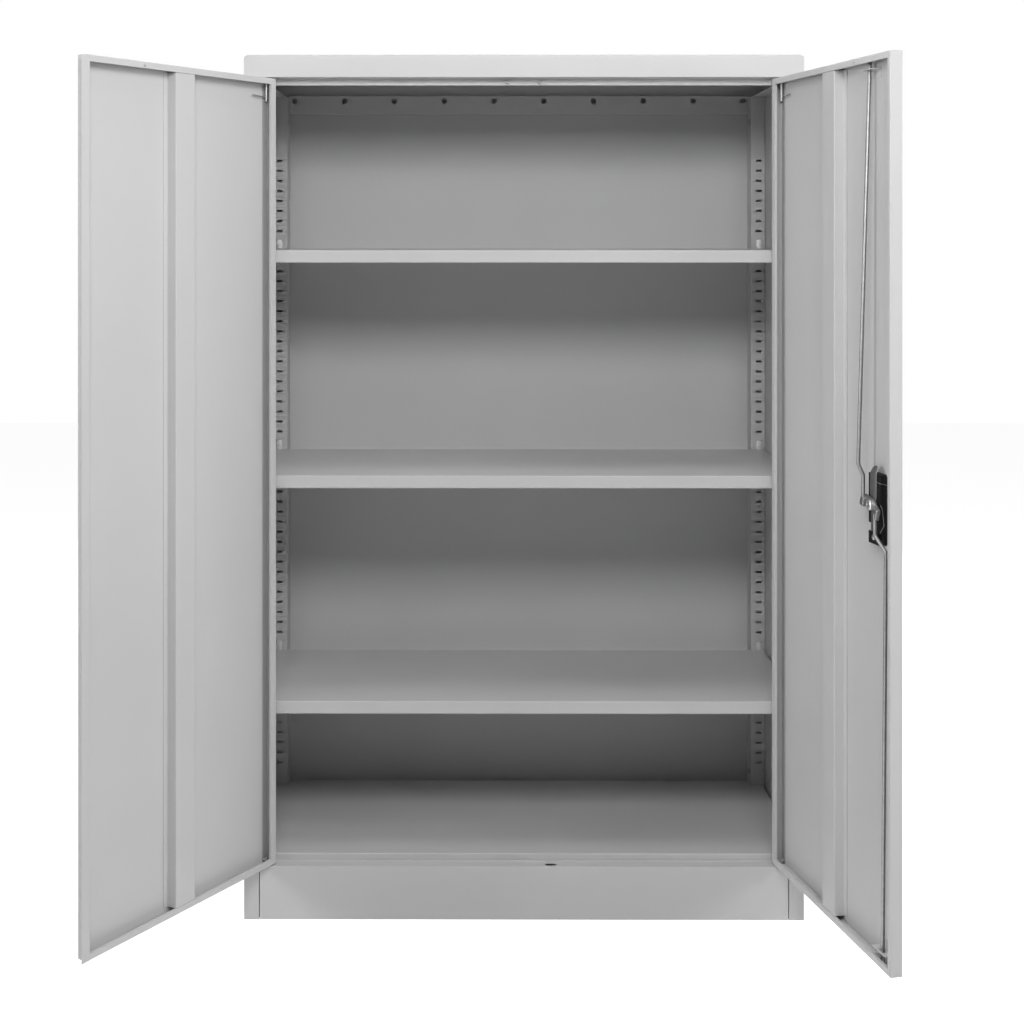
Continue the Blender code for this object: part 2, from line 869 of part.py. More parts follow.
def overlap_strip(frame):
    """Closing strip on the left door that stands behind the right door's free edge."""
    web = free_edge - strip_web
    cover = door_depth + seat
    path = [
        (web - strip_foot, inner_skin + sheet),
        (web, inner_skin + sheet),
        (web, cover + sheet),
        (free_edge + strip_cover, cover + sheet),
    ]
    low, high = door_bottom + inner_skin, door_top - inner_skin

    def place(u, depth, z):
        return in_door(1, u, depth, z)

    strip = piece("overlap_strip", prism(fold(path[::-1]), place, low, high), "powder coat", frame)
    notches = bmesh.new()
    bottom_clear, top_clear = door_bottom + door_lip + seat, door_top - door_lip - seat
    for end, inner in ((low - overrun, bottom_clear), (top_clear, high + overrun)):
        corner = place(web - strip_foot - overrun, 0, end)
        other = place(web + bend, cover + sheet + overrun, inner)
        add_box(notches, corner, other)
    cut(strip, notches)


def turned(profile, place, sides=hole_sides):
    """A body turned about an axis: profile pairs of radius and level."""
    return loft([[place(a, b, level) for a, b in circle(radius, sides)] for radius, level in profile])


def in_lock(across, up, depth):
    """A point of the lock: across and up from its spindle, depth from the door's outer face."""
    return in_door(-1, spindle_u + across, depth, spindle_height + up)


def lock_housing(frame):
    """Moulded housing: bezel and dish outside, body through the skin, chamfered back."""
    def ring(width, height, corner, depth):
        outline = rounded_rectangle(width, height, corner, housing_round_steps)
        return [in_lock(a, b - housing_drop, depth) for a, b in outline]

    back = housing_back - housing_chamfer
    small_width, small_height = housing_width - 2 * housing_chamfer, housing_height - 2 * housing_chamfer
    floor_width, floor_height_ = dish_width - 2 * dish_draft, dish_height - 2 * dish_draft
    top_width, top_height = bezel_width - 2 * bezel_chamfer, bezel_height - 2 * bezel_chamfer
    rings = [
        ring(small_width, small_height, housing_corner - housing_chamfer, housing_back),
        ring(housing_width, housing_height, housing_corner, back),
        ring(housing_width, housing_height, housing_corner, -seat),
        ring(bezel_width, bezel_height, bezel_corner, -seat),
        ring(bezel_width, bezel_height, bezel_corner, bezel_chamfer - seat - bezel_thickness),
        ring(top_width, top_height, bezel_corner - bezel_chamfer, -seat - bezel_thickness),
        ring(dish_width, dish_height, dish_corner, -seat - bezel_thickness),
        ring(floor_width, floor_height_, dish_corner - dish_draft, dish_floor),
    ]
    housing = piece("lock_housing", loft(rings), "black plastic", frame)
    bore = circle(spindle_radius + spindle_clearance)
    cut(housing, prism(bore, in_lock, dish_floor - overrun, housing_back + overrun))
    return housing


def housing_cutout(pan):
    """The hole in the right door's skin for the housing."""
    outline = rounded_rectangle(
        housing_width + 2 * cutout_clearance,
        housing_height + 2 * cutout_clearance,
        housing_corner,
        housing_round_steps,
    )
    outline = moved(outline, 0, -housing_drop)
    cut(pan, prism(outline, in_lock, -overrun, sheet + overrun))


def lock_bridge(frame):
    """Steel strip across the housing's back, with an eye round the spindle."""
    near = housing_back + seat
    far = near + bridge_thickness
    path = [(-bridge_low, near), (bridge_turn, near), (bridge_tip, bridge_tip_depth)]

    def place(up, depth, across):
        return in_lock(across, up, depth)

    outline = fold(path, bridge_thickness + seat, bridge_thickness)
    bridge = piece("lock_bridge", prism(outline, place, -bridge_width / 2, bridge_width / 2), "steel", frame)
    cut(bridge, prism(circle(bridge_eye), in_lock, near, far), "UNION")
    bore = circle(spindle_radius + spindle_clearance)
    cut(bridge, prism(bore, in_lock, near - overrun / 2, far + overrun / 2))


def lug_screw(frame, housing):
    """Screw in the housing's lower lug, and its hole."""
    def place(across, up, depth):
        return in_lock(across, up - lug_screw_drop, depth)

    under = housing_back + seat
    profile = [
        (lug_screw_head / 2, under + lug_screw_head_height),
        (lug_screw_head, under + lug_screw_head_height / 2),
        (lug_screw_head, under),
        (lug_screw_shank, under),
        (lug_screw_shank, under - lug_screw_depth),
    ]
    piece("lug_screw", turned(profile, place), "bright zinc", frame)
    hole = circle(lug_screw_shank + seat)
    cut(housing, prism(hole, place, housing_back - lug_screw_depth, housing_back + overrun))


def lock_handle(frame):
    """T-shaped handle: hub on the dish's floor, tapered bar, spindle, key cylinder's bore."""
    floor = dish_floor - seat
    profile = [
        (spindle_radius, cam_near - seat),
        (spindle_radius, floor),
        (hub_skirt_radius, floor),
        (hub_skirt_radius, floor - hub_skirt / 2),
        (hub_radius, floor - hub_skirt),
        (hub_radius, bar_front),
        (hub_radius - hub_proud, bar_front - hub_proud),
    ]
    handle = piece("lock_handle", turned(profile, in_lock, 2 * hole_sides), "black plastic", frame)
    rings = []
    for share in bar_station_shares:
        scale = 1 - (1 - bar_end_share) * abs(share) ** bar_taper_power
        section = rounded_rectangle(bar_width * scale, bar_depth * scale, bar_corner * scale, bar_round_steps)
        middle = bar_front + bar_depth / 2
        rings.append([in_lock(a, share * bar_length / 2, middle + depth) for a, depth in section])
    cut(handle, loft(rings), "UNION")
    key_bore = circle(key_radius + seat)
    cut(handle, prism(key_bore, in_lock, bar_front - hub_proud - overrun, bar_front - hub_proud + key_depth))
    screw_hole = circle(cam_screw_shank + seat)
    deepest = cam_far + seat - cam_screw_depth - seat
    cut(handle, prism(screw_hole, in_lock, deepest, cam_near + overrun))


def key_cylinder(frame):
    """Round plug in the handle's hub with a slot for the key."""
    front = bar_front - hub_proud - key_proud
    back = bar_front - hub_proud + key_depth - seat
    body = turned([(key_radius, back), (key_radius, front)], in_lock)
    plug = piece("key_cylinder", body, "bright zinc", frame)
    slot = rectangle(key_slot_width, key_slot_length)
    cut(plug, prism(slot, in_lock, front - overrun, front + key_slot_depth))


def cam_outline():
    """Two-armed lever: round ends and a round boss joined by tangents."""
    lean = math.acos((cam_boss_radius - cam_end_radius) / cam_reach)
    steps = hole_sides // 2
    points = []
    for end in (0, 1):
        half_turn = math.pi * end
        middle = Vector((cam_reach * math.cos(half_turn), cam_reach * math.sin(half_turn)))
        for step in range(steps + 1):
            angle = half_turn + lean * (2 * step / steps - 1)
            points.append(middle + cam_end_radius * Vector((math.cos(angle), math.sin(angle))))
        for angle in (half_turn + lean, half_turn + math.pi / 2, half_turn + math.pi - lean):
            points.append(cam_boss_radius * Vector((math.cos(angle), math.sin(angle))))
    turned_back = Matrix.Rotation(-cam_rest_angle, 2)
    return [tuple(turned_back @ point) for point in points]


def lock_cam(frame):
    """Steel cam on the spindle's end, a hole in each arm for a rod's hook."""
    cam = piece("lock_cam", prism(cam_outline(), in_lock, cam_near, cam_far), "steel", frame)
    ends = (cam_near - overrun / 2, cam_far + overrun / 2)
    holes = bmesh.new()
    add_prism(holes, circle(cam_screw_shank + seat), in_lock, *ends)
    for side in (-1, 1):
        hole = moved(circle(rod_radius + rod_hook_clearance), side * crank_u, -side * crank_z)
        add_prism(holes, hole, in_lock, *ends)
    cut(cam, holes)
    under = cam_far + seat
    profile = [
        (cam_screw_head / 2, under + cam_screw_head_height),
        (cam_screw_head, under + cam_screw_head_height / 2),
        (cam_screw_head, under),
        (cam_screw_shank, under),
        (cam_screw_shank, under - cam_screw_depth),
    ]
    piece("cam_screw", turned(profile, in_lock), "bright zinc", frame)


def locking_rods(frame):
    """Upper and lower rods: hooked in the cam, joggled, and straight to the door's ends."""
    hook = cam_near - seat
    height = spindle_height
    upper = [
        (upper_rod_u, hook, height + crank_z),
        (upper_rod_u, rod_crank_depth, height + crank_z),
        (upper_rod_u, rod_crank_depth, height + upper_joggle_start),
        (upper_rod_u, rod_bow_depth, height + upper_joggle_end),
        (upper_rod_u, rod_depth, door_top + rod_proud),
    ]
    crank = spindle_u + crank_u
    lower = [
        (crank, hook, height - crank_z),
        (crank, rod_crank_depth, height - crank_z),
        (crank, rod_crank_depth, height - lower_joggle_start),
        (crank + lower_rod_kick, rod_depth, height - lower_joggle_end),
        (lower_rod_u, rod_depth, door_bottom - rod_proud),
    ]
    for name, points in (("rod_upper", upper), ("rod_lower", lower)):
        rod(name, [in_door(-1, *point) for point in points], rod_radius, rod_bend, "bright zinc", frame)


def rod_guides(frame, pan):
    """A folded guide at each end of the door, and the slots in the door's own edges."""
    top = door_top - guide_from_end
    bottom = door_bottom + guide_from_end
    upper = [(guide_ear, top), (inner_skin, top), (inner_skin, top - guide_foot)]
    lower = [(inner_skin, bottom + guide_foot), (inner_skin, bottom), (guide_ear, bottom)]

    def place(depth, z, u):
        return in_door(-1, u, depth, z)

    def level(u, depth, z):
        return in_door(-1, u, depth, z)

    for name, path, rod_u, ear, edge in (
        ("rod_guide_upper", upper, upper_rod_u, top, door_top),
        ("rod_guide_lower", lower, lower_rod_u, bottom, door_bottom),
    ):
        half = guide_length / 2
        guide = piece(name, prism(fold(path), place, rod_u - half, rod_u + half), "powder coat", frame)
        slot = moved(stadium(guide_slot_length, guide_slot_width), rod_u, rod_depth)
        cut(guide, prism(slot, level, ear - overrun, ear + overrun))
        cut(pan, prism(slot, level, edge - overrun, edge + overrun))


def carcass():
    for name, side in (("left", -1), ("right", 1)):
        side_panel("side_panel_" + name, side)
        front_post("front_post_" + name, side)
        rear_post("rear_post_" + name, side)
        bumper("bumper_" + name, side)
        hinge_washer("hinge_washer_" + name, side)
    top_panel()
    header_rail()
    plinth()
    rear_rails()
    back_panel()
    floor_panel()
    for level, share in zip(shelf_names, shelf_slot_shares):
        height = post_slot_top - round(share * post_slot_steps) * post_slot_pitch - clip_slot_drop
        shelf("shelf_" + level, height)
        for end_name, end in (("front", -1), ("rear", 1)):
            for name, side in (("left", -1), ("right", 1)):
                shelf_clip(f"clip_{level}_{end_name}_{name}", side, end, height)


def doors():
    for name, hand, opening in (("left", 1, left_door_opening), ("right", -1, right_door_opening)):
        frame = door_frame(name + "_door_pivot", hand, opening)
        pan = door_pan("door_pan_" + name, frame, hand)
        hinge_stile("hinge_stile_" + name, frame, hand)
        door_stiffener("stiffener_" + name, frame, hand)
        top_pin("top_pin_" + name, frame, hand)
        bottom_pin("bottom_pin_" + name, frame, hand)
        if hand > 0:
            overlap_strip(frame)
            continue
        housing_cutout(pan)
        housing = lock_housing(frame)
        lug_screw(frame, housing)
        lock_bridge(frame)
        lock_handle(frame)
        key_cylinder(frame)
        lock_cam(frame)
        locking_rods(frame)
        rod_guides(frame, pan)


carcass()
doors()
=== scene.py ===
"""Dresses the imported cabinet: finishes, small fittings, floor, lamps and camera."""
import math

import bmesh
import bpy
from mathutils import Matrix, Vector


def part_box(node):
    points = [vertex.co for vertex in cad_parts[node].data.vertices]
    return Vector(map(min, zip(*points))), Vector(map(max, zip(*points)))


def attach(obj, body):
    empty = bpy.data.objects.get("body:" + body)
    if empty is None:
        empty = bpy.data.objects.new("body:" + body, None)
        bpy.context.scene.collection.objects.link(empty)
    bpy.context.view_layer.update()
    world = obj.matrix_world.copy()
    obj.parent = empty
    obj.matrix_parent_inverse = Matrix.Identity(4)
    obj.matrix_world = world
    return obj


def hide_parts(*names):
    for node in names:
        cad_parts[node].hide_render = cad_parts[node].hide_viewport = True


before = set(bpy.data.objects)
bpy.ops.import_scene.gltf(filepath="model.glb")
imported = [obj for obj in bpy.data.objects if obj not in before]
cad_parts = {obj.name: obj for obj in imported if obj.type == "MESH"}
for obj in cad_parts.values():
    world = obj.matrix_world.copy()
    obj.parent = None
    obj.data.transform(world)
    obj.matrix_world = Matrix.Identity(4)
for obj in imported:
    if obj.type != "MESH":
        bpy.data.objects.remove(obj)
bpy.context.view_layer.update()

scene = bpy.context.scene
scene.view_settings.view_transform = "Standard"


# The camera stands level in front of the cabinet, a little left of its middle and
# about as high as the upper shelf. The lens is shifted down, so uprights stay upright.
camera_data = bpy.data.cameras.new("camera")
camera_data.sensor_width = 36.0
camera_data.lens = 57.73
camera_data.shift_x = 0.03346
camera_data.shift_y = -0.26919
camera = bpy.data.objects.new("camera", camera_data)
camera.location = (-0.0635, -2.6532, 1.0981)
camera.rotation_euler = (math.pi / 2, 0.0, 0.004)
scene.collection.objects.link(camera)
scene.camera = camera


# The studio is a pale floor in a white surround. To the camera both are white, and the floor
# keeps the cabinet's shadow. The patch that the cabinet stands on doesn't glow, as it is
# dark under any closed plinth.
def maths(tree, operation, *values):
    """The result of a maths node. Each value is a number or another node's output."""
    node = tree.nodes.new("ShaderNodeMath")
    node.operation = operation
    for socket, value in zip(node.inputs, values):
        if isinstance(value, float):
            socket.default_value = value
        else:
            tree.links.new(value, socket)
    return node.outputs["Value"]


def seen_rays(tree):
    """1 where a ray from the camera arrives, straight, mirrored or through glass, else 0."""
    ray = tree.nodes.new("ShaderNodeLightPath").outputs
    seen = maths(tree, "MAXIMUM", ray["Is Camera Ray"], ray["Is Glossy Ray"])
    return maths(tree, "MAXIMUM", seen, ray["Is Transmission Ray"])


white = (1.0, 1.0, 1.0, 1.0)
floor_width, floor_drop = 14.0, 0.0005
floor_glow = 0.94
carcass_middle, carcass_reach = (0.0, 0.18), (0.44, 0.18)
surround_light, surround_white = 0.02, 1.0

bpy.ops.object.select_all(action="DESELECT")
bpy.ops.mesh.primitive_plane_add(size=floor_width, location=(0.0, 0.0, -floor_drop))
floor = bpy.context.object
floor.name = "studio_floor"
bpy.ops.object.transform_apply(location=True, rotation=True, scale=True)

floor_paint = bpy.data.materials.new("studio_floor")
floor_paint.use_nodes = True
tree = floor_paint.node_tree
tree.nodes.clear()
lit = tree.nodes.new("ShaderNodeBsdfDiffuse")
lit.inputs["Color"].default_value = (0.80, 0.80, 0.80, 1.0)
place = tree.nodes.new("ShaderNodeTexCoord")
spot = tree.nodes.new("ShaderNodeSeparateXYZ")
tree.links.new(place.outputs["Object"], spot.inputs["Vector"])
under = [
    maths(tree, "COMPARE", spot.outputs[axis], middle, reach)
    for axis, middle, reach in zip("XY", carcass_middle, carcass_reach)
]
open_floor = maths(tree, "SUBTRACT", 1.0, maths(tree, "MULTIPLY", *under))
bright = maths(tree, "MULTIPLY", seen_rays(tree), floor_glow)
glow = tree.nodes.new("ShaderNodeEmission")
glow.inputs["Color"].default_value = white
tree.links.new(maths(tree, "MULTIPLY", bright, open_floor), glow.inputs["Strength"])
total = tree.nodes.new("ShaderNodeAddShader")
tree.links.new(lit.outputs["BSDF"], total.inputs[0])
tree.links.new(glow.outputs["Emission"], total.inputs[1])
out = tree.nodes.new("ShaderNodeOutputMaterial")
tree.links.new(total.outputs["Shader"], out.inputs["Surface"])
floor.data.materials.append(floor_paint)

surround = bpy.data.worlds.new("studio_surround")
scene.world = surround
surround.use_nodes = True
tree = surround.node_tree
tree.nodes.clear()
choice = tree.nodes.new("ShaderNodeMixShader")
tree.links.new(seen_rays(tree), choice.inputs["Fac"])
# The first shader of the mix lights the cabinet, and the second is what the camera sees.
for socket, strength in ((1, surround_light), (2, surround_white)):
    shell = tree.nodes.new("ShaderNodeBackground")
    shell.inputs["Color"].default_value = white
    shell.inputs["Strength"].default_value = strength
    tree.links.new(shell.outputs["Background"], choice.inputs[socket])
out = tree.nodes.new("ShaderNodeOutputWorld")
tree.links.new(choice.outputs["Shader"], out.inputs["Surface"])


# Soft rectangular lamps: a key lamp near the camera with a weaker one above it, one overhead,
# three at the sides that lift the doors and the inside, and one behind. Each line gives the
# lamp's name, its place, the point it faces, its width, its height and its power.
for name, place, aim, width, height, power in (
    ("key_lamp", (0.0, -1.7, 1.75), (0.0, 0.0, 0.8), 1.0, 0.4, 15.5),
    ("upper_lamp", (0.0, -1.9, 1.95), (0.0, 0.0, 0.8), 1.0, 0.4, 4.5),
    ("overhead_lamp", (0.0, -0.6, 3.0), (0.0, -0.2, 0.9), 1.4, 0.6, 9.0),
    ("left_lamp", (-2.6, -1.3, 1.3), (0.3, 0.0, 0.7), 0.6, 1.0, 25.0),
    ("right_lamp", (2.6, -1.3, 1.3), (-0.3, 0.0, 0.7), 0.6, 1.0, 22.0),
    ("right_upper_lamp", (1.6, -1.6, 2.8), (-0.1, 0.0, 0.8), 0.8, 0.8, 15.5),
    ("rear_lamp", (0.0, 2.8, 1.6), (0.0, 0.4, 0.7), 2.4, 1.2, 60.0),
):
    lamp_data = bpy.data.lights.new(name, "AREA")
    lamp_data.shape = "RECTANGLE"
    lamp_data.size = width
    lamp_data.size_y = height
    lamp_data.energy = power
    lamp = bpy.data.objects.new(name, lamp_data)
    lamp.location = place
    lamp.rotation_euler = (Vector(aim) - Vector(place)).to_track_quat("-Z", "Y").to_euler()
    scene.collection.objects.link(lamp)


# Powder coat over folded steel sheet: a light neutral grey with the fine, slightly
# uneven skin that baked powder has. All sheet parts of the carcass and doors wear it.
def finish(name, tints, cloud, grain, rough, skin=None, specular=0.5, metallic=0.0):
    """A material with two noises, each given by its scale and detail. The cloud tints it
    between two ramp stops. The grain sets its roughness between two values and, where a
    skin is given by strength and distance, raises it."""
    made = bpy.data.materials.new(name)
    made.use_nodes = True
    tree = made.node_tree
    shader = tree.nodes["Principled BSDF"]
    shader.inputs["Specular IOR Level"].default_value = specular
    shader.inputs["Metallic"].default_value = metallic
    place = tree.nodes.new("ShaderNodeTexCoord")
    noises = []
    for scale, detail in (cloud, grain):
        noise = tree.nodes.new("ShaderNodeTexNoise")
        noise.inputs["Scale"].default_value = scale
        noise.inputs["Detail"].default_value = detail
        tree.links.new(place.outputs["Object"], noise.inputs["Vector"])
        noises.append(noise.outputs["Fac"])
    tint = tree.nodes.new("ShaderNodeValToRGB")
    for stop, (position, colour) in zip(tint.color_ramp.elements, tints):
        stop.position = position
        stop.color = (*colour, 1.0)
    tree.links.new(noises[0], tint.inputs["Fac"])
    tree.links.new(tint.outputs["Color"], shader.inputs["Base Color"])
    sheen = tree.nodes.new("ShaderNodeMapRange")
    sheen.inputs["To Min"].default_value, sheen.inputs["To Max"].default_value = rough
    tree.links.new(noises[1], sheen.inputs["Value"])
    tree.links.new(sheen.outputs["Result"], shader.inputs["Roughness"])
    if skin:
        bump = tree.nodes.new("ShaderNodeBump")
        bump.inputs["Strength"].default_value, bump.inputs["Distance"].default_value = skin
        tree.links.new(noises[1], bump.inputs["Height"])
        tree.links.new(bump.outputs["Normal"], shader.inputs["Normal"])
    return made


def shades(colour, dark, pale, low=0.0, high=1.0):
    """Two ramp stops: a darker shade of a colour at low, a paler one at high."""
    return [(at, [share * part for part in colour]) for at, share in ((low, dark), (high, pale))]


def powder_coat(name, grey):
    """A baked powder coat of one grey."""
    return finish(
        name, shades((grey, grey, grey), 0.975, 1.015, 0.3, 0.7), cloud=(3.5, 3.0),
        grain=(420.0, 2.0), rough=(0.40, 0.52), skin=(0.22, 0.0004), specular=0.25,
    )


def wear(node, material):
    """Gives a solid of the frame a material."""
    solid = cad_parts[node]
    solid.data.materials.clear()
    solid.data.materials.append(material)


light_grey = powder_coat("light_grey_powder_coat", 0.60)
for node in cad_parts:
    wear(node, light_grey)

# The hinge stiles, the steel angles that are welded in along the doors' hinge walls, wear a
# darker grey of the same coat: painted shade for the shadowed channel under the hinge lips.
stile_painted_shade_coat = powder_coat("stile_painted_shade_coat", 0.41)
for hand in ("left", "right"):
    wear("hinge_stile_" + hand, stile_painted_shade_coat)


# The twelve shelf clips are pressed from 2 mm strip and bright zinc plated. Two hooks hang
# in a post's slots, the ledge carries the shelf, and the tab above it keeps it in place.
def edit(name):
    """The primitive just added takes its name, stands at the origin and opens for editing."""
    piece = bpy.context.object
    piece.name = piece.data.name = name
    bpy.ops.object.transform_apply(location=True, rotation=True, scale=True)
    bpy.ops.object.mode_set(mode="EDIT")
    return piece


def block(name, middle, size):
    """A new cuboid, open for editing."""
    bpy.ops.object.select_all(action="DESELECT")
    bpy.ops.mesh.primitive_cube_add(size=1.0, location=middle, scale=size)
    return edit(name)


def pick(test):
    """Selects the faces whose middle and normal pass the test."""
    bpy.ops.mesh.select_mode(type="FACE")
    bpy.ops.mesh.select_all(action="DESELECT")
    mesh = bmesh.from_edit_mesh(bpy.context.object.data)
    mesh.normal_update()
    for face in mesh.faces:
        face.select_set(bool(test(face.calc_center_median(), face.normal)))
    bmesh.update_edit_mesh(bpy.context.object.data)


def pick_edges(test):
    """Selects the edges whose middle and direction pass the test."""
    bpy.ops.mesh.select_mode(type="EDGE")
    bpy.ops.mesh.select_all(action="DESELECT")
    mesh = bmesh.from_edit_mesh(bpy.context.object.data)
    for edge in mesh.edges:
        ends = [corner.co for corner in edge.verts]
        edge.select_set(bool(test((ends[0] + ends[1]) / 2, (ends[1] - ends[0]).normalized())))
    bmesh.update_edit_mesh(bpy.context.object.data)


def score(*levels):
    """Cuts a level line round the whole piece at each height."""
    for level in levels:
        bpy.ops.mesh.select_all(action="SELECT")
        bpy.ops.mesh.bisect(plane_co=(0.0, 0.0, level), plane_no=(0.0, 0.0, 1.0))


def push(*step):
    """Draws the selected faces out by a step."""
    bpy.ops.mesh.extrude_region_move(TRANSFORM_OT_translate={"value": step})


def soften(piece, width, steps=2, smooth=40.0):
    """Closes editing, rounds the sharp edges and shades what curves as smooth."""
    bpy.ops.mesh.select_all(action="SELECT")
    bpy.ops.mesh.remove_doubles(threshold=0.00001)
    bpy.ops.mesh.normals_make_consistent(inside=False)
    bpy.ops.object.mode_set(mode="OBJECT")
    if width:
        edge = piece.modifiers.new("soft_edges", "BEVEL")
        edge.width = width
        edge.segments = steps
        edge.limit_method = "ANGLE"
        edge.angle_limit = math.radians(35.0)
        bpy.ops.object.modifier_apply(modifier=edge.name)
    bpy.ops.object.shade_smooth_by_angle(angle=math.radians(smooth))


def fit(piece, place, material, slot, body, *nodes):
    """Sets a finished piece in its place and material, on its body."""
    bpy.ops.object.select_all(action="DESELECT")
    bpy.context.view_layer.objects.active = piece
    piece.select_set(True)
    piece.matrix_world = place
    bpy.ops.object.transform_apply(location=True, rotation=True, scale=True)
    piece.data.materials.clear()
    piece.data.materials.append(material)
    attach(piece, body)
    if nodes:
        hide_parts(*nodes)


def another(piece, name):
    """A copy of a finished piece, with a mesh of its own."""
    copy = bpy.data.objects.new(name, piece.data.copy())
    scene.collection.objects.link(copy)
    return copy


def mirror(piece):
    """Turns a piece into its mirror image across x = 0."""
    bpy.ops.object.select_all(action="DESELECT")
    bpy.context.view_layer.objects.active = piece
    piece.select_set(True)
    bpy.ops.object.mode_set(mode="EDIT")
    bpy.ops.mesh.select_all(action="SELECT")
    bpy.ops.transform.resize(value=(-1.0, 1.0, 1.0), center_override=(0.0, 0.0, 0.0))
    bpy.ops.mesh.normals_make_consistent(inside=False)
    bpy.ops.object.mode_set(mode="OBJECT")


def centre(node):
    """The middle of a solid's box."""
    return [(low + high) / 2 for low, high in zip(*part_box(node))]


def plated(name, colour, rough, grain):
    """A plated or rolled metal with fine streaks and small blooms in its sheen."""
    return finish(
        name, shades(colour, 0.88, 1.05, 0.35, 0.65), cloud=(160.0, 3.0), grain=(grain, 2.0),
        rough=(rough - 0.06, rough + 0.08), skin=(0.12, 0.0002), metallic=1.0,
    )


bright_zinc = plated("bright_zinc", (0.70, 0.70, 0.69), 0.34, 700.0)
pressed_zinc = plated("pressed_zinc", (0.66, 0.66, 0.66), 0.58, 500.0)

tolerance = 0.0002  # Within this, a face or edge is taken to lie at a named level.
clip_across = 0.4370
clip_wide, clip_thick, clip_gap = 0.0090, 0.0020, 0.0003
clip_top, clip_foot = 0.0160, -0.0245
hook_low, hook_high = 0.0121, 0.0137
ledge_low, ledge_high, ledge_depth = -0.0230, -0.0210, 0.0097
tab_foot, tab_out = 0.0006, 0.0012
hook_neck, hook_reach, hook_drop = 0.0014, 0.0015, 0.0020
clip_corner = 0.0016

clip = block(
    "clip", (0.0, -clip_gap - clip_thick / 2, (clip_top + clip_foot) / 2),
    (clip_wide, clip_thick, clip_top - clip_foot),
)
score(hook_high, hook_low, tab_foot, ledge_high, ledge_low)
pick(lambda middle, normal: normal.x > 0.9 and middle.z > tab_foot)
push(tab_out, 0.0, 0.0)
pick(lambda middle, normal: normal.y < -0.9 and ledge_low < middle.z < ledge_high)
push(0.0, -ledge_depth, 0.0)
bpy.ops.mesh.select_all(action="SELECT")
bpy.ops.mesh.bisect(plane_co=(clip_wide / 2, 0.0, 0.0), plane_no=(1.0, 0.0, 0.0))
for low, high in ((hook_low, hook_high), (clip_foot, ledge_low)):
    pick(lambda at, normal: normal.y > 0.9 and low < at.z < high and at.x < clip_wide / 2)
    push(0.0, hook_neck, 0.0)
    push(0.0, hook_reach, 0.0)
    pick(
        lambda at, normal: normal.z < -0.9 and at.y > hook_neck - clip_gap
        and abs(at.z - low) < tolerance
    )
    push(0.0, 0.0, -hook_drop)
pick_edges(lambda at, along: abs(along.y) > 0.9 and at.z > clip_top - tolerance and at.y < 0.0)
bpy.ops.mesh.bevel(offset=clip_corner, segments=3, affect="EDGES")
soften(clip, 0.0003)
for level in ("upper", "middle", "lower"):
    shelf_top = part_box("shelf_" + level)[1][2]
    for end, turn in (("rear", 0.0), ("front", math.pi)):
        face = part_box(end + "_post_left")[0 if end == "rear" else 1][1]
        for hand, side in (("left", -1.0), ("right", 1.0)):
            node = f"clip_{level}_{end}_{hand}"
            copy = another(clip, "shelf_" + node)
            if side * math.cos(turn) < 0.0:
                mirror(copy)
            spot = Matrix.Translation((side * clip_across, face, shelf_top))
            spot = spot @ Matrix.Rotation(turn, 4, "Z")
            fit(copy, spot, pressed_zinc, "bright_zinc", "carcass", node)
bpy.data.objects.remove(clip)


# The back is one flat sheet, welded in behind the posts and rails. Its upper edge reaches
# up to the top panel's rear flange, so no light comes in over it.
back_rise = 0.0014
size = [high - low for low, high in zip(*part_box("back_panel"))]
sheet = block("back_sheet", centre("back_panel"), size)
pick(lambda middle, normal: normal.z > 0.9)
push(0.0, 0.0, back_rise)
soften(sheet, 0.0002, steps=1)
fit(sheet, Matrix(), light_grey, "powder_coat", "carcass", "back_panel")


# Two soft grey rubber buttons, pushed through the header's lip, on which the doors close.
# Each is a moulded dome on a stem.
def disc(name, radius, thick, middle=(0.0, 0.0, 0.0), sides=32, upright=True):
    """A new round disc, open for editing: its axis runs along y, or along z if it lies."""
    bpy.ops.object.select_all(action="DESELECT")
    bpy.ops.mesh.primitive_cylinder_add(
        vertices=sides, radius=radius, depth=thick, location=middle,
        rotation=(math.pi / 2 if upright else 0.0, 0.0, 0.0),
    )
    return edit(name)


rubber_stops = ((0.0, (0.46, 0.46, 0.45)), (1.0, (0.54, 0.54, 0.53)))
rubber = finish(
    "bumper_rubber", rubber_stops, cloud=(900.0, 2.0), grain=(900.0, 2.0),
    rough=(0.55, 0.75), specular=0.3,
)
button_radius, button_thick, stem_long = 0.0030, 0.0034, 0.0011

button = disc("button", button_radius, button_thick, (0.0, -button_thick / 2, 0.0))
pick(lambda middle, normal: normal.y < -0.9)
for inward, outward in ((0.0006, 0.0007), (0.0009, 0.0003)):
    bpy.ops.mesh.inset(thickness=inward, depth=outward)
pick(lambda middle, normal: normal.y > 0.9)
bpy.ops.mesh.inset(thickness=button_radius / 2, depth=0.0)
push(0.0, stem_long, 0.0)
soften(button, 0.0002, smooth=60.0)
for hand in ("left", "right"):
    node = "bumper_" + hand
    across, _, height = centre(node)
    spot = Matrix.Translation((across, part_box(node)[1][1] - stem_long, height))
    fit(another(button, "door_button_" + hand), spot, rubber, "bumper_rubber", "carcass", node)
bpy.data.objects.remove(button)


# Zinc-plated washers lie on the plinth's ledge under the doors and carry their weight. They
# are punched from plate.
washer_radius, washer_bore, washer_thick = 0.0070, 0.0033, 0.0019
washer = disc("washer", washer_radius, washer_thick, sides=48, upright=False)
pick(lambda middle, normal: abs(normal.z) > 0.9)
bpy.ops.mesh.inset(thickness=washer_radius - washer_bore, depth=0.0)
bpy.ops.mesh.bridge_edge_loops()
soften(washer, 0.0002)
for hand in ("left", "right"):
    node = "hinge_washer_" + hand
    spot = Matrix.Translation(centre(node))
    fit(another(washer, "washer_" + hand), spot, bright_zinc, "bright_zinc", "carcass", node)
bpy.data.objects.remove(washer)


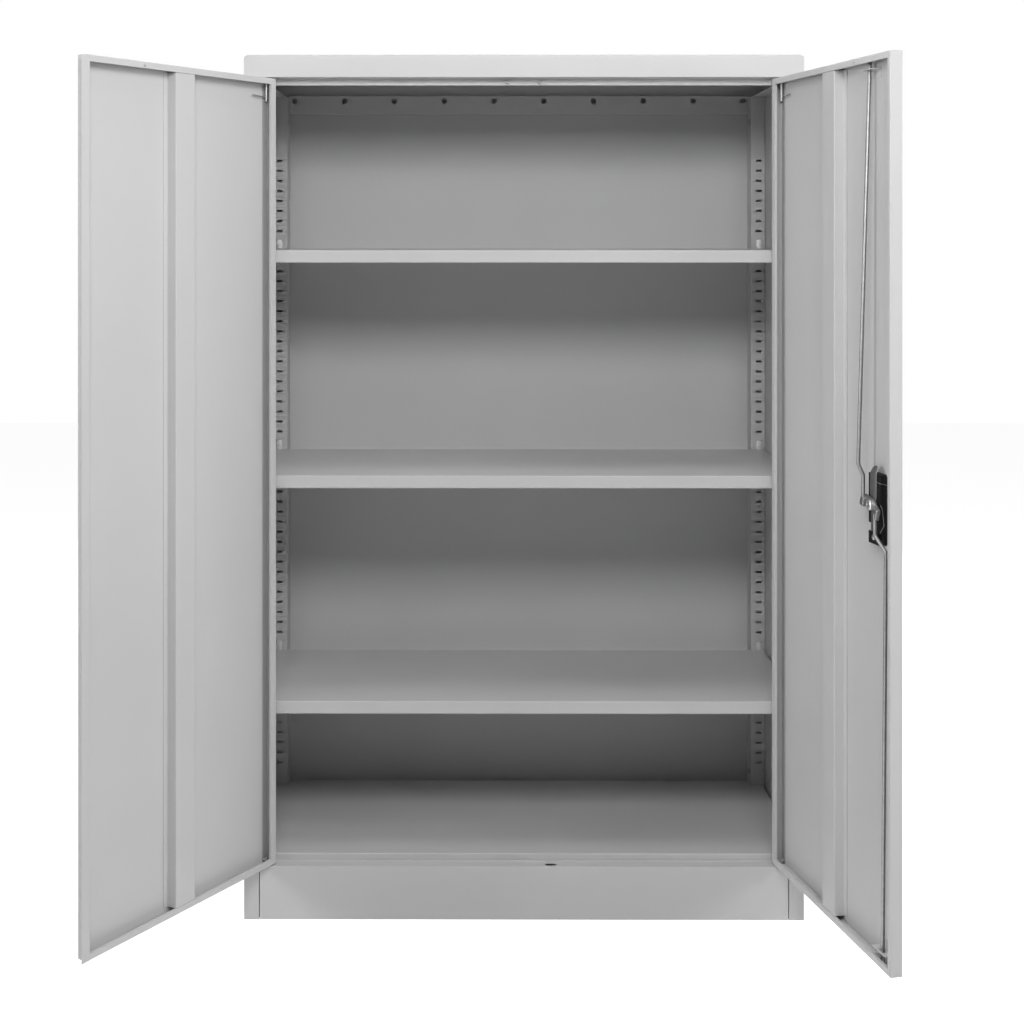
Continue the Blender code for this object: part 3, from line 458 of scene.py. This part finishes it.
# The doors hang on zinc-plated steel pins. The upper one slides down by a thin cross lever
# welded to it, so that the door lifts out; the lower one is fixed to the hinge stile.
def on_door(hand, u=0.0, depth=0.0, height=0.0):
    """A door's point as a frame: u from its hinge pin, depth from its outer face. The hand
    is 1 for the left door and -1 for the right one."""
    turn = left_open if hand > 0 else right_open
    pivot = Matrix.Translation((-pin_across * hand, pin_y, 0.0)) @ Matrix.Rotation(turn, 4, "Z")
    return pivot @ Matrix.Translation((hand * u, depth - pin_inset, height))


def round_bar(name, radius, low, high):
    """An upright bar with a rounded lower end and a chamfered upper one."""
    bar = disc(name, radius, high - low, (0.0, 0.0, (low + high) / 2), upright=False)
    pick_edges(lambda middle, along: abs(along.z) < 0.1 and middle.z < low + tolerance)
    bpy.ops.mesh.bevel(offset=radius * 0.55, segments=4, affect="EDGES")
    pick_edges(lambda middle, along: abs(along.z) < 0.1 and middle.z > high - tolerance)
    bpy.ops.mesh.bevel(offset=0.0005, segments=1, affect="EDGES")
    soften(bar, 0.0)
    return bar


def join(piece, part):
    """Makes a finished part one with a piece."""
    bpy.ops.object.select_all(action="DESELECT")
    part.select_set(True)
    piece.select_set(True)
    bpy.context.view_layer.objects.active = piece
    bpy.ops.object.join()


left_open, right_open = math.radians(-120.97), math.radians(102.16)
pin_across, pin_y, pin_inset = 0.4145, -0.0090, 0.0060
wire_radius = 0.00275
top_pin, bottom_pin = (1.3147, 1.3600), (0.0800, 0.0987)
lever_radius, lever_long, lever_level = 0.0010, 0.0360, 1.3215
lever_turn = math.radians(94.0)
drawn_zinc = plated("drawn_zinc", (0.50, 0.50, 0.50), 0.28, 900.0)

for hand, word in ((1.0, "left"), (-1.0, "right")):
    lever = round_bar("lever", lever_radius, -lever_long, 0.0)
    lever.rotation_euler = (0.0, -hand * lever_turn, 0.0)
    lever.location = (0.0, 0.0, lever_level)
    pin = round_bar("top_hinge_pin_" + word, wire_radius, *top_pin)
    join(pin, lever)
    axis = on_door(hand, 0.0, pin_inset)
    fit(pin, axis, drawn_zinc, "bright_zinc", "hinge_pin_" + word, "top_pin_" + word)
    pin = round_bar("bottom_hinge_pin_" + word, wire_radius, *bottom_pin)
    fit(pin, axis, drawn_zinc, "bright_zinc", "door_" + word, "bottom_pin_" + word)


# Two locking rods of 5.5 mm bright zinc-plated wire run from the lock's cam to slots in the
# door's upper and lower edges. Each is hooked into the cam and cranked over its boss.
def wire(name, radius, bend, route):
    """A round wire bent along a route of corners."""
    route = [Vector(corner) for corner in route]
    heading = (route[1] - route[0]).normalized()
    bpy.ops.object.select_all(action="DESELECT")
    turn = heading.to_track_quat("Z", "Y").to_euler()
    bpy.ops.mesh.primitive_circle_add(
        vertices=20, radius=radius, fill_type="NGON", location=route[0], rotation=turn
    )
    piece = edit(name)
    bpy.ops.mesh.select_all(action="SELECT")
    at = route[0]
    for corner, after in zip(route[1:], route[2:]):
        ahead = (after - corner).normalized()
        angle = heading.angle(ahead)
        setback = bend * math.tan(angle / 2)
        push(*(corner - heading * setback - at))
        axis = heading.cross(ahead).normalized()
        middle = corner - heading * setback + axis.cross(heading) * bend
        bpy.ops.mesh.spin(steps=5, angle=-angle, center=middle, axis=axis)
        heading, at = ahead, corner + ahead * setback
    push(*(route[-1] - at))
    soften(piece, 0.0004, smooth=50.0)
    return piece


upper_route = (
    (-0.33133, 0.0139, 0.72967),
    (-0.33133, 0.0200, 0.72967),
    (-0.33133, 0.0200, 0.7612),
    (-0.33133, 0.0274, 0.7782),
    (-0.33133, 0.0095, 1.3535),
)
lower_route = (
    (-0.36867, 0.0139, 0.71533),
    (-0.36867, 0.0200, 0.71533),
    (-0.36867, 0.0200, 0.6831),
    (-0.38117, 0.0095, 0.6609),
    (-0.37087, 0.0095, 0.0865),
)
rod_bend = 0.0040
wire_zinc = plated("wire_zinc", (0.28, 0.28, 0.28), 0.42, 900.0)
for word, route in (("upper", upper_route), ("lower", lower_route)):
    rod = wire("locking_rod_" + word, wire_radius, rod_bend, route)
    fit(rod, on_door(-1.0), wire_zinc, "bright_zinc", word + "_rod", "rod_" + word)


# The lock's housing is one black moulding: a bezel and dish outside, and a body through the
# door's skin that stands behind it. Its grain is fine and satin.
def moulded(name, colour, rough):
    """A moulded plastic with a fine grain."""
    return finish(
        name, shades(colour, 0.75, 1.25), cloud=(1600.0, 2.0), grain=(1600.0, 2.0),
        rough=(rough - 0.05, rough + 0.07), skin=(0.20, 0.0002), specular=0.22,
    )


black_plastic = moulded("black_plastic", (0.0045, 0.0045, 0.0048), 0.52)
lock_across, lock_level = 0.3500, 0.7225
lock = on_door(-1.0, lock_across, 0.0, lock_level)
bezel_depth, bezel_level, bezel_corner = -0.0018, -0.0062, 0.0140
bezel_wide, bezel_thick, bezel_tall = 0.0520, 0.0030, 0.1180
body_inset, body_tall, body_deep = 0.0080, 0.0990, 0.0071
dish_inset, dish_tall, dish_slope, dish_deep = 0.0040, 0.1040, 0.0056, 0.0092
step_depth, step_thick, step_edge = 0.0089, 0.0062, 0.0010

housing = block(
    "lock_case", (0.0, bezel_depth, bezel_level), (bezel_wide, bezel_thick, bezel_tall)
)
pick_edges(lambda middle, along: abs(along.y) > 0.9)
bpy.ops.mesh.bevel(offset=bezel_corner, segments=8, affect="EDGES")
pick(lambda middle, normal: normal.y > 0.9)
bpy.ops.mesh.inset(thickness=body_inset, depth=0.0)
bpy.ops.transform.resize(value=(1.0, 1.0, body_tall / (bezel_tall - 2 * body_inset)))
push(0.0, body_deep, 0.0)
pick(lambda middle, normal: normal.y < -0.9)
bpy.ops.mesh.inset(thickness=dish_inset, depth=0.0)
bpy.ops.transform.resize(value=(1.0, 1.0, dish_tall / (bezel_tall - 2 * dish_inset)))
bpy.ops.mesh.inset(thickness=dish_slope, depth=-dish_deep)
soften(housing, 0.0007, smooth=45.0)
for across, level, wide, tall in (
    (0.0, 0.0082, 0.0360, 0.0702),
    (-0.0040, -0.0328, 0.0280, 0.0130),
    (0.0034, -0.0470, 0.0302, 0.0170),
):
    step = block("step", (across, step_depth, level), (wide, step_thick, tall))
    pick(lambda middle, normal: normal.y > 0.9)
    bpy.ops.mesh.inset(thickness=step_edge, depth=0.0)
    soften(step, 0.0006)
    join(housing, step)
fit(housing, lock, black_plastic, "black_plastic", "door_right", "lock_housing")


# A rolled steel strap lies across the housing's back, with a round eye for the spindle. Its
# upper end is rounded and bent towards the door's skin.
plain_steel = plated("plain_steel", (0.30, 0.30, 0.30), 0.42, 500.0)
strap_depth, strap_level = 0.0129, 0.0035
strap_wide, strap_thick, strap_tall = 0.0155, 0.0012, 0.0820
shoulder, tip = 0.0120, 0.0500
shank_share, shoulder_share, tip_share = 0.95, 1.25, 0.85
tip_bend, tip_long, tip_corner = 0.0041, 0.0101, 0.0050
eye_radius, eye_thick = 0.0090, 0.0014

strap = block(
    "lock_strap", (0.0, strap_depth, strap_level), (strap_wide, strap_thick, strap_tall)
)
score(0.0130, 0.0070, -0.0070, -0.0120)
pick(lambda middle, normal: normal.z > 0.9)
push(0.0, -tip_bend, tip_long)
mesh = bmesh.from_edit_mesh(strap.data)
for corner in mesh.verts:
    share = shoulder_share if corner.co.z > shoulder else shank_share
    corner.co.x *= tip_share if corner.co.z > tip else share
bmesh.update_edit_mesh(strap.data)
pick_edges(lambda middle, along: abs(along.x) < 0.1 and middle.z > tip)
bpy.ops.mesh.bevel(offset=tip_corner, segments=6, affect="EDGES")
soften(strap, 0.0003)
eye = disc("eye", eye_radius, eye_thick, (0.0, strap_depth, 0.0), 40)
soften(eye, 0.0003)
join(strap, eye)
fit(strap, lock, plain_steel, "plain_steel", "door_right", "lock_bridge")


# The steel cam on the spindle is a two-armed lever, stamped with a raised stop at the end of
# each arm. The rods hook into the arms.
cam_depth, cam_thick = 0.01545, 0.0025
hub_radius, arm_radius, arm_reach = 0.0090, 0.0055, 0.0200
stop_depth, stop_thick = 0.0190, 0.0060
cam_turn = math.radians(-21.0)

cam = disc("lock_lever", hub_radius, cam_thick, (0.0, cam_depth, 0.0))
bpy.ops.object.mode_set(mode="OBJECT")
for reach in (arm_reach, -arm_reach):
    arm_end = disc("arm_end", arm_radius, cam_thick, (reach, cam_depth, 0.0))
    bpy.ops.object.mode_set(mode="OBJECT")
    join(cam, arm_end)
bpy.ops.object.mode_set(mode="EDIT")
bpy.ops.mesh.select_all(action="SELECT")
bpy.ops.mesh.convex_hull()
bpy.ops.mesh.select_all(action="SELECT")
bpy.ops.mesh.dissolve_limited(angle_limit=math.radians(1.0))
soften(cam, 0.0004)
for reach, lift, wide, tall in (
    (0.0205, -0.0055, 0.0095, 0.0140),
    (-0.0240, -0.0015, 0.0075, 0.0170),
):
    stop = block("stop", (reach, stop_depth, lift), (wide, stop_thick, tall))
    pick(lambda middle, normal: normal.y > 0.9)
    bpy.ops.transform.resize(value=(0.85, 1.0, 0.85))
    soften(stop, 0.0006, steps=3)
    join(cam, stop)
turned = lock @ Matrix.Rotation(cam_turn, 4, "Y")
fit(cam, turned, plain_steel, "plain_steel", "lock_rotor", "lock_cam")


# Two zinc-plated cross-recess screws: a broad one that holds the cam on the spindle, and a
# small one in the lug at the housing's lower end.
def cut(piece, place, size):
    """Takes a cuboid out of a piece."""
    bpy.ops.object.select_all(action="DESELECT")
    bpy.ops.mesh.primitive_cube_add(size=1.0, location=place, scale=size)
    waste = bpy.context.object
    carve = piece.modifiers.new("cut", "BOOLEAN")
    carve.operation = "DIFFERENCE"
    carve.object = waste
    bpy.context.view_layer.objects.active = piece
    bpy.ops.object.modifier_apply(modifier=carve.name)
    bpy.data.objects.remove(waste)


def cross_screw(name, head, thick, recess):
    """A pan head lying on y = 0, with a cross of a recess's width cut in its crown."""
    screw = disc(name, head, thick, (0.0, thick / 2, 0.0), 36)
    pick(lambda middle, normal: normal.y > 0.9)
    for inward, outward in ((0.22, 0.28), (0.25, 0.08)):
        bpy.ops.mesh.inset(thickness=head * inward, depth=thick * outward)
    soften(screw, head * 0.05, smooth=50.0)
    for wide, tall in ((recess, recess * 0.24), (recess * 0.24, recess)):
        cut(screw, (0.0, thick * 1.3, 0.0), (wide, thick, tall))
    return screw


# Each line gives a head's radius, thickness and recess, its place and turn, and its body.
for name, head, thick, recess, depth, level, turn, body, node in (
    ("cam_cross_screw", 0.0076, 0.0040, 0.0062, 0.0167, 0.0, 25.0, "lock_rotor", "cam_screw"),
    ("lug_cross_screw", 0.0038, 0.0019, 0.0034, 0.0120, -0.0457, 40.0, "door_right", "lug_screw"),
):
    screw = cross_screw(name, head, thick, recess)
    spot = lock @ Matrix.Translation((0.0, depth, level))
    spot = spot @ Matrix.Rotation(math.radians(turn), 4, "Y")
    fit(screw, spot, bright_zinc, "bright_zinc", body, node)


# Two springs of thin bright wire: one bears on the housing's wall and holds the cam in its
# place, and a short loop clips the housing to the strap, over its edge.
thin_radius = 0.0006
spring_route = (
    (-0.0185, 0.0118, 0.0020),
    (-0.0185, 0.0086, -0.0040),
    (-0.0185, 0.0062, -0.0270),
    (-0.0185, 0.0122, -0.0370),
)
clip_route = ((-0.0090, 0.0126, 0.0330), (-0.0186, 0.0126, 0.0320), (-0.0186, 0.0010, 0.0290))
for name, bend, route in (
    ("cam_spring", 0.0012, spring_route),
    ("case_clip", 0.0010, clip_route),
):
    spring = wire(name, thin_radius, bend, route)
    fit(spring, lock, wire_zinc, "bright_zinc", "door_right")


# The handle outside is a black T: a round hub on the dish's floor with a tapered bar across
# it, upright while the lock is open.
flange_radius, flange_thick, flange_depth, flange_slope = 0.0140, 0.0020, 0.0052, 0.0020
neck_long, neck_taper, crown_edge = 0.0282, 0.70, 0.0010
plug_gap, plug_rim = 0.0004, 0.0027
bar_depth, bar_wide, bar_thick, bar_tall = -0.0205, 0.0150, 0.0110, 0.0840
bar_levels, bar_shares = (0.0378, 0.0300, 0.0189), (0.62, 0.72, 0.86, 0.97)

hub = disc("lock_grip", flange_radius, flange_thick, (0.0, flange_depth, 0.0), 48)
pick(lambda middle, normal: normal.y < -0.9)
bpy.ops.mesh.inset(thickness=flange_slope, depth=flange_slope)
push(0.0, -neck_long, 0.0)
bpy.ops.transform.resize(value=(neck_taper, 1.0, neck_taper))
bpy.ops.mesh.inset(thickness=crown_edge, depth=crown_edge)
bpy.ops.mesh.inset(thickness=plug_rim, depth=0.0)
push(0.0, plug_gap, 0.0)
soften(hub, 0.0004, smooth=50.0)
bar = block("bar", (0.0, bar_depth, 0.0), (bar_wide, bar_thick, bar_tall))
score(*bar_levels, 0.0, *[-level for level in reversed(bar_levels)])
mesh = bmesh.from_edit_mesh(bar.data)
for level, share in zip((bar_tall / 2, *bar_levels), bar_shares):
    for corner in mesh.verts:
        if abs(abs(corner.co.z) - level) < tolerance:
            corner.co.x *= share
            corner.co.y = bar_depth + (corner.co.y - bar_depth) * share
bmesh.update_edit_mesh(bar.data)
soften(bar, 0.0032, steps=4, smooth=50.0)
join(hub, bar)
fit(hub, lock, black_plastic, "black_plastic", "lock_rotor", "lock_handle")


# The key's plug in the middle of the hub is zinc, with an upright slot for the key. It is
# cast, and turned on its face.
plug_radius, plug_long, plug_depth = 0.0060, 0.0100, -0.0226
slot_depth, slot_size = -0.0270, (0.0016, 0.0090, 0.0080)

plug = disc("key_plug_face", plug_radius, plug_long, (0.0, plug_depth, 0.0), 40)
pick(lambda middle, normal: normal.y < -0.9)
bpy.ops.mesh.inset(thickness=0.0009, depth=-0.0003)
soften(plug, 0.0002)
cut(plug, (0.0, slot_depth, 0.0), slot_size)
fit(plug, lock, bright_zinc, "bright_zinc", "key_plug", "key_cylinder")
